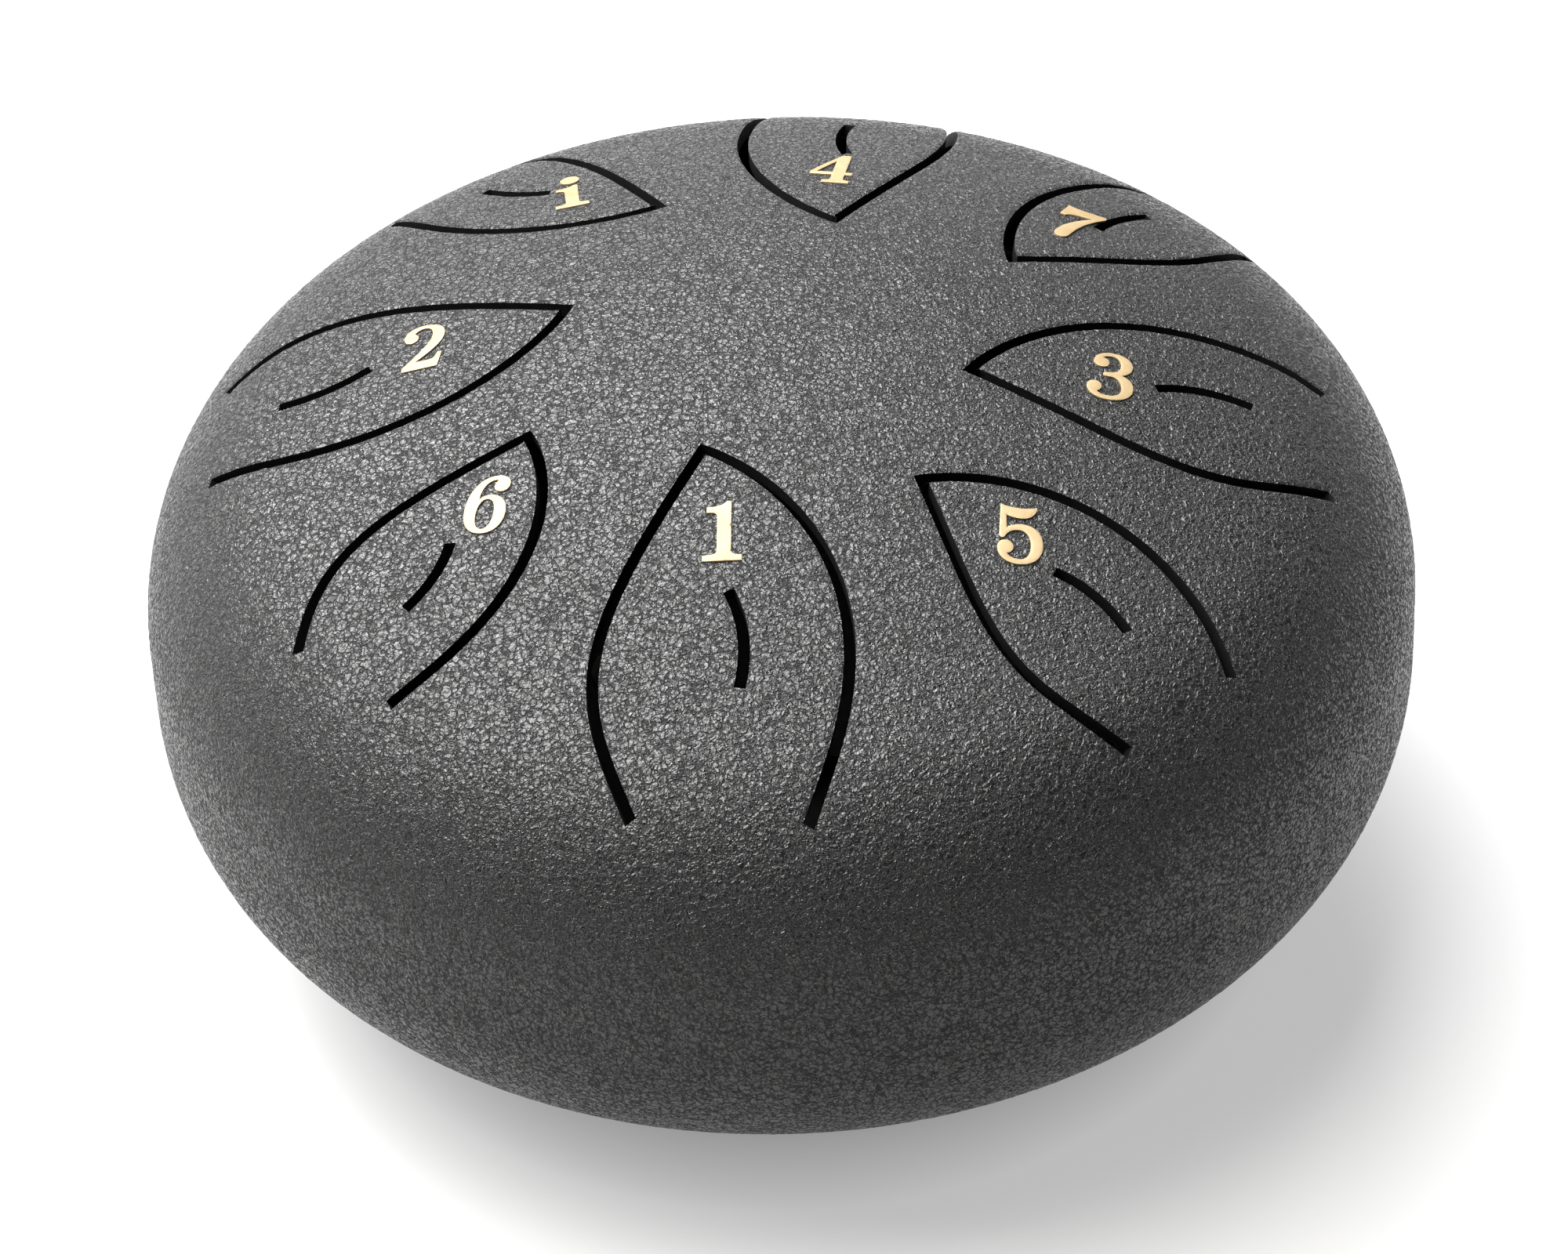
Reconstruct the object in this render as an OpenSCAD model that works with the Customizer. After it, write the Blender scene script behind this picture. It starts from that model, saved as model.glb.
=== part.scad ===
// Small steel tongue drum: two pressed steel dishes joined at the rim. Eight leaf-shaped tongues are
// cut into the top dish, each with a short vein slit, a scale number and a stiff bend at its root.
// Origin: on the resting plane, under the middle of the drum. +Z up, -Y towards tongue 1.

/* [Body] */
// Outer diameter of the drum
drum_d = 155; // [152:1:165]
// Height of each dish, from the seam to its middle
dish_h = 39.5; // [36:0.5:44]
// Outer radius of the dishes' wide, shallow crown
crown_r = 172.27; // [165:0.01:185]
// Outer radius of the shoulder between the crown and the side wall
shoulder_r = 26.02; // [22:0.01:28]
// Thickness of the steel sheet
sheet_t = 2; // [1.5:0.1:2.5]
// Height of the drum's lowest point above the surface it stands on
ground_gap = 4; // [3:0.5:6]
// Diameter of the sound port in the bottom dish
port_d = 28; // [15:1:34]
// Radius of the weld bead inside the seam
weld_r = 1.5; // [1:0.1:2]

/* [Tongues] */
// Width of every slit
slit_w = 1.4; // [1:0.1:1.8]
// Gap that stands in for the bending line at a tongue's root
root_gap = 0.1; // [0.05:0.05:0.2]
// Length of a vein slit, as a share of its tongue's length
vein_share = 0.27; // [0.2:0.01:0.32]

/* [Numbers] */
// Height of a full-height number
number_h = 9; // [7:0.5:10]
// Thickness of the number stickers
number_t = 0.2; // [0.1:0.05:0.4]

/* [Feet] */
// Radius of the circle that the feet stand on
foot_ring_r = 34; // [30:1:36]
// Diameter of a foot at the drum
foot_d = 13; // [12:0.5:15]
// Diameter of a foot's flat underside
foot_pad_d = 8; // [6:0.5:9]
// Diameter of the neck that goes through the bottom dish
neck_d = 5; // [4:0.5:6]
// Radius of the rounded edge of a foot's underside
edge_r = 1.5; // [1:0.1:1.8]
// Diameter of the head inside the dish, where it is widest
head_d = 8; // [7:0.5:10]
// Diameter of the head's tip
head_tip_d = 4; // [3:0.5:6]
// Height of the head
head_h = 5; // [3:0.5:6]

/* [Hidden] */
$fn = 64;
// Names of the eight notes, anticlockwise from the front
NOTE_NAMES = ["1", "5", "3", "7", "4", "high_1", "2", "6"];

steel_grey = [0.27, 0.26, 0.27];
gold = [0.93, 0.80, 0.52];
rubber_black = [0.07, 0.07, 0.07];

rim_r = drum_d / 2;
seam_z = ground_gap + dish_h;
// Height of the upright cuts, past the top of the dish
cut_h = 2 * dish_h;
// How far a cut runs past the face it leaves
over = 1;

// Each tongue is one leaf outline, turned and scaled to run from its tip to its root.
// Tip radius, tip bearing, root radius, root bearing, start of the vein along the leaf,
// the vein's sideways place, and how far along its curve each side is cut, straight side first.
// Radii are in mm, bearings in degrees, the vein's numbers in leaf lengths.
LEAVES = [
    [19, -109.5, 66, -90, 0.45, 0.04, 1, 1.034],
    [28.5, -47, 68, -42, 0.49, 0.035, 1, 1.01],
    [24, -2, 66.5, 2, 0.52, 0.03, 1, 1],
    [36.5, 41, 70.5, 44, 0.45, 0.02, 1, 1],
    [30, 79.5, 72.5, 86, 0.47, 0, 1, 1],
    [37.5, 116.5, 69.5, 134.5, 0.46, 0, 1, 1],
    [27.5, 158.5, 67, 180.5, 0.57, 0.01, 0.975, 1.04],
    [31, 207, 64.5, 225.5, 0.48, 0.03, 0.98, 1.035]
];
// Radius and bearing of the middle of each number, and the bearing that its top points to
NUMBER_PLACES = [
    [31, -95, 94],
    [41.5, -41.5, 95],
    [40.5, 3, 94],
    [49.5, 46, 70],
    [44, 85, 86],
    [48.5, 125.5, 101],
    [43, 172.5, 93.5],
    [40, 218.5, 85]
];
// The leaf's two sides as curves from the tip at [0, 0] to the root at x = 1
LEAF_STRAIGHT_SIDE = [[0, 0], [0.49, -0.27], [0.63, -0.38], [1, -0.22]];
LEAF_ROUND_SIDE = [[0, 0], [0.11, 0.18], [0.475, 0.47], [1, 0.22]];
// Sideways bulge of a vein slit, in leaf lengths
vein_bulge = 0.036;
// Number of straight steps along each side of a leaf
leaf_steps = 12;

// ---- curves ----

function polar(r, a) = [r * cos(a), r * sin(a)];
function curve_point(c, t) = pow(1 - t, 3) * c[0] + 3 * pow(1 - t, 2) * t * c[1]
    + 3 * (1 - t) * t * t * c[2] + pow(t, 3) * c[3];
function unit(v) = v / norm(v);
function left_of(v) = [-v[1], v[0]];

// The direction in which a curve runs
function curve_ahead(c, t) = unit(pow(1 - t, 2) * (c[1] - c[0]) + 2 * (1 - t) * t * (c[2] - c[1])
    + t * t * (c[3] - c[2]));

// Points beside a curve, a distance d to the left of it, from its start to the parameter end
function beside(c, d, n, end = 1) = [
    for (i = [0:n])
        let (t = end * i / n)
        curve_point(c, t) + d * left_of(curve_ahead(c, t))
];
function backwards(list) = [for (i = [len(list) - 1:-1:0]) list[i]];
// A strip of width w along a curve
function strip(c, w, n) = concat(beside(c, -w / 2, n), backwards(beside(c, w / 2, n)));

// A closed outline. Every third point is on it, and the two after that point are curve handles.
// Where both handles lie on their ends, the stretch is straight.
function outline(k, n = 4) = [
    for (i = [0:3:len(k) - 1])
        let (c = [k[i], k[i + 1], k[i + 2], k[(i + 3) % len(k)]])
        let (steps = c[0] == c[1] && c[2] == c[3] ? 1 : n)
        for (s = [0:steps - 1]) curve_point(c, s / steps)
];

// ---- dish ----

// Middle of the crown's arc and of the shoulder's arc, with the seam at height 0
crown_c = [0, dish_h - crown_r];
shoulder_x = rim_r - shoulder_r;
shoulder_c = [shoulder_x, crown_c[1] + sqrt(pow(crown_r - shoulder_r, 2) - pow(shoulder_x, 2))];
join_dir = unit(shoulder_c - crown_c);

// Half of the drum's section, from the seam up, drawn inset from the outer face
module half_section(inset) {
    far = 1.5 * crown_r;
    intersection() {
        square([far, far]);
        union() {
            intersection() {
                translate(crown_c) circle(r = crown_r - inset);
                polygon([crown_c, crown_c + far * join_dir, [0, far]]);
            }
            translate(shoulder_c) circle(r = shoulder_r - inset);
            polygon([[0, 0], [rim_r - inset, 0], [rim_r - inset, shoulder_c[1]], shoulder_c,
                [0, shoulder_c[1]]]);
        }
    }
}

module dish() {
    rotate_extrude() difference() {
        half_section(0);
        half_section(sheet_t);
    }
}

module top_dish() {
    translate([0, 0, seam_z]) dish();
}

// ---- tongues ----

function leaf_tip(i) = polar(LEAVES[i][0], LEAVES[i][1]);
function leaf_root(i) = polar(LEAVES[i][2], LEAVES[i][3]);
// A point of the leaf's own outline, put in its place on the drum
function on_leaf(i, p) =
    let (along = leaf_root(i) - leaf_tip(i))
    leaf_tip(i) + p[0] * along + p[1] * left_of(along);
function leaf_curve(i, side) = [for (p = side) on_leaf(i, p)];
function vein_curve(i) =
    let (start = LEAVES[i][4], side = LEAVES[i][5], end = start + vein_share)
    leaf_curve(i, [[start, side], [start + vein_share / 3, side + vein_bulge],
        [end - vein_share / 3, side + vein_bulge], [end, side + vein_bulge / 3]]);

// The leaf's outline, a distance d inside the middle of its slits. A sharp corner closes it at the tip,
// and its open end is the straight line between the ends of the slits.
function leaf_side_points(i, d) =
    let (straight = leaf_curve(i, LEAF_STRAIGHT_SIDE), round = leaf_curve(i, LEAF_ROUND_SIDE))
    let (a = unit(straight[1] - straight[0]), b = unit(round[1] - round[0]))
    let (corner = straight[0] + d * (a + b) / norm(cross_2d(a, b)))
    [corner, tail(beside(straight, d, leaf_steps, LEAVES[i][6])),
        tail(beside(round, -d, leaf_steps, LEAVES[i][7]))];
function cross_2d(a, b) = [a[0] * b[1] - a[1] * b[0]];
function tail(list) = [for (k = [1:len(list) - 1]) list[k]];
function last(list) = list[len(list) - 1];

// The tongue itself, up to its root line
module tongue_area(i) {
    p = leaf_side_points(i, slit_w / 2);
    polygon(concat([p[0]], p[1], backwards(p[2])));
}

// The opening that the tongue and its slits leave in the top dish
module tongue_opening(i) {
    inner = leaf_side_points(i, slit_w / 2);
    outer = leaf_side_points(i, -slit_w / 2);
    gap = root_gap * unit(leaf_root(i) - leaf_tip(i));
    polygon(concat([outer[0]], outer[1], [last(inner[1]) + gap, last(inner[2]) + gap], backwards(outer[2])));
}

module tongue(i) {
    color(steel_grey) intersection() {
        top_dish();
        translate([0, 0, seam_z]) linear_extrude(cut_h) difference() {
            tongue_area(i);
            polygon(strip(vein_curve(i), slit_w, 6));
        }
    }
}

// ---- shells ----

module top_shell() {
    color(steel_grey) difference() {
        top_dish();
        for (i = [0:7]) translate([0, 0, seam_z + sheet_t]) linear_extrude(cut_h) tongue_opening(i);
    }
}

module bottom_shell() {
    color(steel_grey) difference() {
        translate([0, 0, seam_z]) mirror([0, 0, 1]) dish();
        cylinder(d = port_d, h = seam_z);
        for (i = [1:4]) foot_place(i) cylinder(d = neck_d, h = seam_z);
    }
}

module seam_weld() {
    color(steel_grey) translate([0, 0, seam_z]) rotate_extrude() intersection() {
        translate([rim_r - sheet_t, 0]) circle(r = weld_r);
        translate([rim_r - sheet_t - 2 * weld_r, -2 * weld_r]) square([2 * weld_r, 4 * weld_r]);
    }
}

// ---- feet ----

module foot_place(i) {
    translate(polar(foot_ring_r, 90 * i - 45)) children();
}

// A push-in rubber foot: a pad with a rounded edge, a neck through the dish and a tapered head inside it
module foot(i) {
    inner_r = crown_r - sheet_t;
    // Height of the dish's inner face over the foot's middle
    top_z = ground_gap + crown_r - sqrt(pow(inner_r, 2) - pow(foot_ring_r, 2));
    color(rubber_black) union() {
        difference() {
            foot_place(i) rotate_extrude() union() {
                polygon([[0, 0], [foot_pad_d / 2, 0], [foot_pad_d / 2, edge_r], [foot_d / 2, 2 * edge_r],
                    [foot_d / 2, top_z], [0, top_z]]);
                intersection() {
                    translate([foot_pad_d / 2, edge_r]) circle(r = edge_r);
                    square([foot_d / 2, 2 * edge_r]);
                }
            }
            translate([0, 0, ground_gap + crown_r]) sphere(r = crown_r);
        }
        foot_place(i) translate([0, 0, ground_gap - over]) cylinder(d = neck_d, h = top_z - ground_gap + 2 * over);
        intersection() {
            foot_place(i) translate([0, 0, top_z - over]) cylinder(d1 = head_d, d2 = head_tip_d, h = head_h);
            translate([0, 0, ground_gap + crown_r]) sphere(r = inner_r);
        }
    }
}

// ---- numbers ----

// The outlines are drawn 100 high, and this is the middle of their square
GLYPH_H = 100;
GLYPH_MIDDLE = [28, GLYPH_H / 2];
// The dot over the short one, which marks the note an octave up
DOT_MIDDLE = [24, 97];
DOT_R = 13.5;
ONE = [
    [0, 0], [0, 0], [51, 0], [51, 0], [51, 0], [51, 9], [51, 9], [44, 9.5], [37, 10],
    [37, 16], [37, 16], [37, 100], [37, 100], [37, 100], [31, 100], [31, 100], [26, 92], [17, 90],
    [5, 90], [5, 90], [5, 81], [5, 81], [14, 81], [18.5, 81], [18.5, 73], [18.5, 73], [18.5, 16],
    [18.5, 16], [18.5, 10], [8, 9.5], [0, 9], [0, 9], [0, 0]
];
TWO = [
    [0, 0], [0, 0], [50, 0], [50, 0], [50, 0], [55, 31], [55, 31], [55, 31], [49, 31], [49, 31],
    [46, 20], [43, 17], [37, 17], [37, 17], [18, 17], [18, 17], [38, 35], [56, 52], [56, 74],
    [56, 91], [43, 100], [26, 100], [10, 100], [-1, 91], [-1, 76], [-1, 69], [3, 63], [9, 63],
    [15, 63], [19, 68], [19, 73], [19, 78], [16, 81], [13, 84], [16, 89], [20, 93], [26, 93],
    [35, 93], [39, 86], [39, 75], [39, 55], [22, 36], [0, 8], [0, 8], [0, 0]
];
THREE = [
    [6, 78], [6, 91], [18, 100], [32, 100], [48, 100], [59, 91], [59, 77], [59, 65], [52, 58],
    [43, 54], [53, 50], [59, 42], [58, 28], [57, 11], [42, 0], [24, 0], [7, 0], [-5, 10], [-5, 23],
    [-5, 31], [0, 36], [6, 36], [12, 36], [15, 31], [15, 26], [15, 21], [12, 17], [8, 15],
    [11, 10], [17, 8], [24, 8], [35, 8], [42, 16], [42, 28], [42, 41], [37, 49], [28, 49],
    [24, 49], [18, 48], [18, 53], [18, 58], [24, 57], [29, 58], [38, 59], [43, 67], [43, 77],
    [43, 87], [39, 93], [31, 93], [25, 93], [21, 91], [19, 88], [24, 87], [27, 83], [27, 78],
    [27, 72], [23, 68], [17, 68], [11, 68], [6, 72]
];
FOUR = [
    [36, 100], [36, 100], [49, 100], [49, 100], [49, 100], [49, 37], [49, 37], [49, 37], [59, 37],
    [59, 37], [59, 37], [59, 28], [59, 28], [59, 28], [49, 28], [49, 28], [49, 28], [49, 14],
    [49, 14], [49, 10], [51, 9], [58, 8], [58, 8], [58, 0], [58, 0], [58, 0], [20, 0],
    [20, 0], [20, 0], [20, 8], [20, 8], [28, 9], [31, 10], [31, 14], [31, 14], [31, 28],
    [31, 28], [31, 28], [0, 28], [0, 28], [0, 28], [0, 36], [0, 36], [0, 36], [36, 100]
];
FOUR_HOLE = [[9, 37], [31, 37], [31, 78]];
FIVE = [
    [6, 100], [21, 93], [38, 93], [54, 97], [52, 84], [44, 77], [33, 77], [25, 77], [18, 79],
    [13, 82], [13, 82], [13, 60], [13, 60], [18, 65], [26, 67], [33, 67], [50, 67], [60, 53],
    [60, 34], [60, 13], [46, 0], [28, 0], [12, 0], [0, 11], [0, 26], [0, 34], [5, 39],
    [11, 39], [17, 39], [21, 34], [21, 28], [21, 22], [17, 18], [12, 17], [16, 11], [22, 8],
    [28, 8], [39, 8], [44, 19], [44, 34], [44, 48], [38, 57], [29, 57], [20, 57], [13, 52],
    [10.5, 45], [9, 42], [4.5, 42], [3, 46], [3, 46], [6, 100]
];
SIX = [
    [38, 100], [48, 100], [55, 93], [55, 85], [55, 77], [50, 72], [44, 72], [38, 72], [34, 76],
    [34, 81], [34, 86], [36, 89], [38, 92], [33, 94], [17, 90], [17, 58], [20, 63], [26, 66],
    [33, 66], [47, 66], [57, 53], [57, 34], [57, 14], [46, 0], [29, 0], [10, 0], [0, 16], [0, 42],
    [0, 75], [15, 100]
];
SIX_HOLE = [
    [28.5, 59], [36.5, 59], [41, 48], [41, 33], [41, 18], [36.5, 7], [28.5, 7], [21, 7],
    [16.5, 18], [16.5, 33], [16.5, 48], [21, 59]
];
SEVEN = [
    [2, 100], [14, 94], [40, 98], [58, 99], [60, 97], [60, 94], [59, 91], [46, 68], [38, 46],
    [37, 10], [36, 1], [31, -2], [26, -2], [20, -2], [16, 3], [16, 11], [16, 36], [30, 62],
    [45, 80], [32, 76], [16, 78], [9, 66], [9, 66], [1, 66], [1, 66], [1, 66], [2, 100]
];
SHORT_ONE = [
    [0, 0], [0, 0], [47, 0], [47, 0], [47, 0], [47, 9], [47, 9], [40, 9.5], [34, 10],
    [34, 16], [34, 16], [34, 76], [34, 76], [34, 76], [28, 76], [28, 76], [22, 70], [14, 69],
    [3, 68], [3, 68], [3, 60], [3, 60], [11, 60], [15, 59], [15, 52], [15, 52], [15, 16],
    [15, 16], [15, 10], [8, 9.5], [0, 9], [0, 9], [0, 0]
];

module one() { polygon(outline(ONE)); }
module two() { polygon(outline(TWO)); }
module three() { polygon(outline(THREE)); }
module four() {
    difference() {
        polygon(outline(FOUR));
        polygon(FOUR_HOLE);
    }
}
module five() { polygon(outline(FIVE)); }
module six() {
    difference() {
        polygon(outline(SIX));
        polygon(outline(SIX_HOLE));
    }
}
module seven() { polygon(outline(SEVEN)); }
module high_one() {
    polygon(outline(SHORT_ONE));
    translate(DOT_MIDDLE) circle(r = DOT_R);
}

// A sticker: a number drawn on the tangent plane at its middle, and kept as a thin layer on the crown
module number(i) {
    place = NUMBER_PLACES[i];
    tilt = asin(place[0] / crown_r);
    color(gold) translate([0, 0, seam_z + crown_c[1]]) intersection() {
        difference() {
            sphere(r = crown_r + number_t);
            sphere(r = crown_r);
        }
        rotate([0, 0, place[1]]) rotate([0, tilt, 0]) rotate([0, 0, place[2] - 90 - place[1]])
            translate([0, 0, crown_r - over]) linear_extrude(2 * over) scale(number_h / GLYPH_H)
                translate(-GLYPH_MIDDLE) children();
    }
}

top_shell();
bottom_shell();
seam_weld();
tongue(0);  // tongue_1
tongue(1);  // tongue_5
tongue(2);  // tongue_3
tongue(3);  // tongue_7
tongue(4);  // tongue_4
tongue(5);  // tongue_high_1
tongue(6);  // tongue_2
tongue(7);  // tongue_6
number(0) one();  // number_1
number(1) five();  // number_5
number(2) three();  // number_3
number(3) seven();  // number_7
number(4) four();  // number_4
number(5) high_one();  // number_high_1
number(6) two();  // number_2
number(7) six();  // number_6
foot(1);  // foot_1
foot(2);  // foot_2
foot(3);  // foot_3
foot(4);  // foot_4
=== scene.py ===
"""Looks for a small steel tongue drum: wrinkle-coated dishes, slit tongues, foil numbers, rubber feet.

Shapes are worked out in millimetres in the CAD frame and written to meshes in metres.
"""

import math

import bpy
import numpy as np
from mathutils import Matrix, Vector, geometry, noise


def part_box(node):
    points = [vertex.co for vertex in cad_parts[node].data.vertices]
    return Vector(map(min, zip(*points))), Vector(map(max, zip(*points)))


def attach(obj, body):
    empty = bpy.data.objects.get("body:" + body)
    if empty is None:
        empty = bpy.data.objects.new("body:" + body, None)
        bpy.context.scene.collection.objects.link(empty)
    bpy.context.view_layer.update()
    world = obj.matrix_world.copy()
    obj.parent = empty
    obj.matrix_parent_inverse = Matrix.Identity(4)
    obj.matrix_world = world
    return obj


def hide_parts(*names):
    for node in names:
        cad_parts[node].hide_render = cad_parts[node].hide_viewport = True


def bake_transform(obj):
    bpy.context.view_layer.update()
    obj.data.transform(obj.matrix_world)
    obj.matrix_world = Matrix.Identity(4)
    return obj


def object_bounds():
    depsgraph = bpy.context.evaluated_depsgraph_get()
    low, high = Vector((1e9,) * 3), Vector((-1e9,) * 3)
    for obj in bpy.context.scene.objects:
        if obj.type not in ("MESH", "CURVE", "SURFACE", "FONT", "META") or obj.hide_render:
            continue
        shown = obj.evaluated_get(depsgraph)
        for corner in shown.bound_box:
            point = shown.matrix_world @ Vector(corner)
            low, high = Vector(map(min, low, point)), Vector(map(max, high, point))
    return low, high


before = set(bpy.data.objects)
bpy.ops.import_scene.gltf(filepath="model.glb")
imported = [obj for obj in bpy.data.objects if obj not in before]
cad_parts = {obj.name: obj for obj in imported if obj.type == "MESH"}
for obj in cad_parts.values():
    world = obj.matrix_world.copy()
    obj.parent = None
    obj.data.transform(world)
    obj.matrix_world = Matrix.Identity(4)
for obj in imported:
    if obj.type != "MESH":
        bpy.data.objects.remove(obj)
cad_low, cad_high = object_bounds()

MM = 0.001

# ---- sizes, in mm: the frame gives the outside, the rest are the design's own ----

shell_low, shell_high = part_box("top_shell")
RIM_R = shell_high.x / MM
SEAM_Z = shell_low.z / MM
DISH_H = (shell_high.z - shell_low.z) / MM
CROWN_R = 172.27
SHOULDER_R = 26.02
SHEET_T = 2.0
SLIT_W = 1.4
PORT_R = 14.0
FOOT_RING_R = 34.0
FOOT_R = 6.5
FOOT_PAD_R = 4.0
PAD_ROUND = 1.6
NECK_R = 2.5
WELD_R = 1.5
NUMBER_H = 9.0
NUMBER_T = 0.2

# Tip radius, tip bearing, root radius, root bearing, start of the vein along the leaf, its sideways place,
# and how far along its curve each side is cut, straight side first
NOTES = {
    "1": (19, -109.5, 66, -90, 0.45, 0.04, 1, 1.034),
    "5": (28.5, -47, 68, -42, 0.49, 0.035, 1, 1.01),
    "3": (24, -2, 66.5, 2, 0.52, 0.03, 1, 1),
    "7": (36.5, 41, 70.5, 44, 0.45, 0.02, 1, 1),
    "4": (30, 79.5, 72.5, 86, 0.47, 0.0, 1, 1),
    "high_1": (37.5, 116.5, 69.5, 134.5, 0.46, 0.0, 1, 1),
    "2": (27.5, 158.5, 67, 180.5, 0.57, 0.01, 0.975, 1.04),
    "6": (31, 207, 64.5, 225.5, 0.48, 0.03, 0.98, 1.035),
}
# The leaf's sides as curves from the tip at (0, 0) to the root at x = 1, in leaf lengths
STRAIGHT_SIDE = ((0, 0), (0.49, -0.27), (0.63, -0.38), (1, -0.22))
ROUND_SIDE = ((0, 0), (0.11, 0.18), (0.475, 0.47), (1, 0.22))
ROOT_WIDTH = ROUND_SIDE[-1][1] - STRAIGHT_SIDE[-1][1]
VEIN_SHARE = 0.27
VEIN_BULGE = 0.036

# Mesh spacing on the outside of the two dishes, inside them, along a cut edge and along the seam
FINE = 0.55
FINE_BELOW = 0.62
COARSE = 2.6
ALONG_CUT = 0.5
ALONG_SEAM = 0.6
# How near to a cut edge a loose mesh point may come, outside and inside
CLEAR_OUTSIDE = 0.34
CLEAR_INSIDE = 0.9
# How far the coat rounds off at a cut, and the row of points beside it that keeps the rounding narrow
EDGE_DROP = 0.14
EDGE_ROW = 0.24
# Height of the coat's wrinkles in the mesh, and the size of their islands
WRINKLE_H = 0.05
WRINKLE_SIZE = 1.5


# ---- plane curves ----

def polar(radius, bearing):
    return np.array([radius * math.cos(math.radians(bearing)), radius * math.sin(math.radians(bearing))])


def curve(controls, steps, end=1.0):
    """Points of a cubic curve up to the parameter end, and its unit normals to the left."""
    c = np.array(controls, float)
    t = np.linspace(0, end, steps + 1)[:, None]
    points = (1 - t) ** 3 * c[0] + 3 * (1 - t) ** 2 * t * c[1] + 3 * (1 - t) * t * t * c[2] + t ** 3 * c[3]
    along = (1 - t) ** 2 * (c[1] - c[0]) + 2 * (1 - t) * t * (c[2] - c[1]) + t * t * (c[3] - c[2])
    along /= np.linalg.norm(along, axis=1)[:, None]
    return points, np.stack([-along[:, 1], along[:, 0]], 1)


def beside(controls, offset, steps, end=1.0):
    points, left = curve(controls, steps, end)
    return points + offset * left


class Leaf:
    """One tongue in plan: its slits, its vein and its root line."""

    def __init__(self, row):
        tip_r, tip_a, root_r, root_a, self.vein_start, self.vein_side, self.straight_end, self.round_end = row
        self.tip, self.root = polar(tip_r, tip_a), polar(root_r, root_a)
        self.along = self.root - self.tip
        self.length = np.linalg.norm(self.along)
        self.steps = int(self.length * 1.1 / ALONG_CUT)
        self.straight = self.placed(STRAIGHT_SIDE)
        self.round = self.placed(ROUND_SIDE)

    def placed(self, points):
        left = np.array([-self.along[1], self.along[0]])
        return [self.tip + x * self.along + y * left for x, y in points]

    def sides(self, offset):
        """The leaf's two sides an offset inside the middle of the slits, from a shared sharp corner."""
        a = self.straight[1] - self.straight[0]
        b = self.round[1] - self.round[0]
        a, b = a / np.linalg.norm(a), b / np.linalg.norm(b)
        corner = self.tip + offset * (a + b) / abs(a[0] * b[1] - a[1] * b[0])
        one = beside(self.straight, offset, self.steps, self.straight_end)
        other = beside(self.round, -offset, self.steps, self.round_end)
        one[0] = other[0] = corner
        return one, other

    def vein(self):
        """The closed outline of the vein slit."""
        start, side = self.vein_start, self.vein_side
        end, third = start + VEIN_SHARE, VEIN_SHARE / 3
        points = self.placed([(start, side), (start + third, side + VEIN_BULGE),
                              (end - third, side + VEIN_BULGE), (end, side + VEIN_BULGE / 3)])
        steps = int(VEIN_SHARE * self.length / ALONG_CUT)
        return np.vstack([beside(points, -SLIT_W / 2, steps), beside(points, SLIT_W / 2, steps)[::-1]])


def inside(polygon, points):
    """Which points lie in a closed polygon, by counting crossings."""
    found = np.zeros(len(points), bool)
    x, y = points[:, 0], points[:, 1]
    for (x0, y0), (x1, y1) in zip(polygon, np.roll(polygon, -1, 0)):
        if y0 != y1:
            crosses = (y0 > y) != (y1 > y)
            found ^= crosses & (x < x0 + (y - y0) * (x1 - x0) / (y1 - y0))
    return found


# ---- the dish: a shallow crown, a shoulder and a short upright skirt ----

SHOULDER_X = RIM_R - SHOULDER_R
JOIN_ANGLE = math.asin(SHOULDER_X / (CROWN_R - SHOULDER_R))
CROWN_Z = DISH_H - CROWN_R
SHOULDER_Z = CROWN_Z + (CROWN_R - SHOULDER_R) * math.cos(JOIN_ANGLE)
JOIN_S = CROWN_R * JOIN_ANGLE
SKIRT_S = JOIN_S + SHOULDER_R * (math.pi / 2 - JOIN_ANGLE)
SEAM_S = SKIRT_S + SHOULDER_Z


def profile(s):
    """Radius, height above the seam, and the normal's angle from upright, at a distance s from the middle."""
    crown, shoulder = s < JOIN_S, s < SKIRT_S
    angle = np.where(crown, s / CROWN_R, np.minimum(JOIN_ANGLE + (s - JOIN_S) / SHOULDER_R, math.pi / 2))
    radius = np.where(crown, CROWN_R * np.sin(angle), SHOULDER_X + SHOULDER_R * np.sin(angle))
    height = np.where(crown, CROWN_Z + CROWN_R * np.cos(angle), SHOULDER_Z + SHOULDER_R * np.cos(angle))
    return radius, np.where(shoulder, height, SHOULDER_Z - (s - SKIRT_S)), angle


def unroll(plan):
    """Plan points moved out to their distance from the middle, measured over the dish."""
    radius = np.maximum(np.linalg.norm(plan, axis=1), 1e-9)
    crown = CROWN_R * np.arcsin(np.minimum(radius / CROWN_R, 1))
    lean = np.arcsin(np.clip((radius - SHOULDER_X) / SHOULDER_R, 0, 1))
    s = np.where(crown < JOIN_S, crown, JOIN_S + SHOULDER_R * (lean - JOIN_ANGLE))
    return plan * (s / radius)[:, None]


def raise_up(flat, side):
    """Points and outward normals of unrolled points on the top dish (side 1) or the bottom one (side -1)."""
    s = np.linalg.norm(flat, axis=1)
    radius, height, angle = profile(s)
    turn = flat / np.maximum(s, 1e-9)[:, None]
    points = np.column_stack([turn * radius[:, None], SEAM_Z + side * height])
    normals = np.column_stack([turn * np.sin(angle)[:, None], side * np.cos(angle)])
    return points, normals


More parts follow.
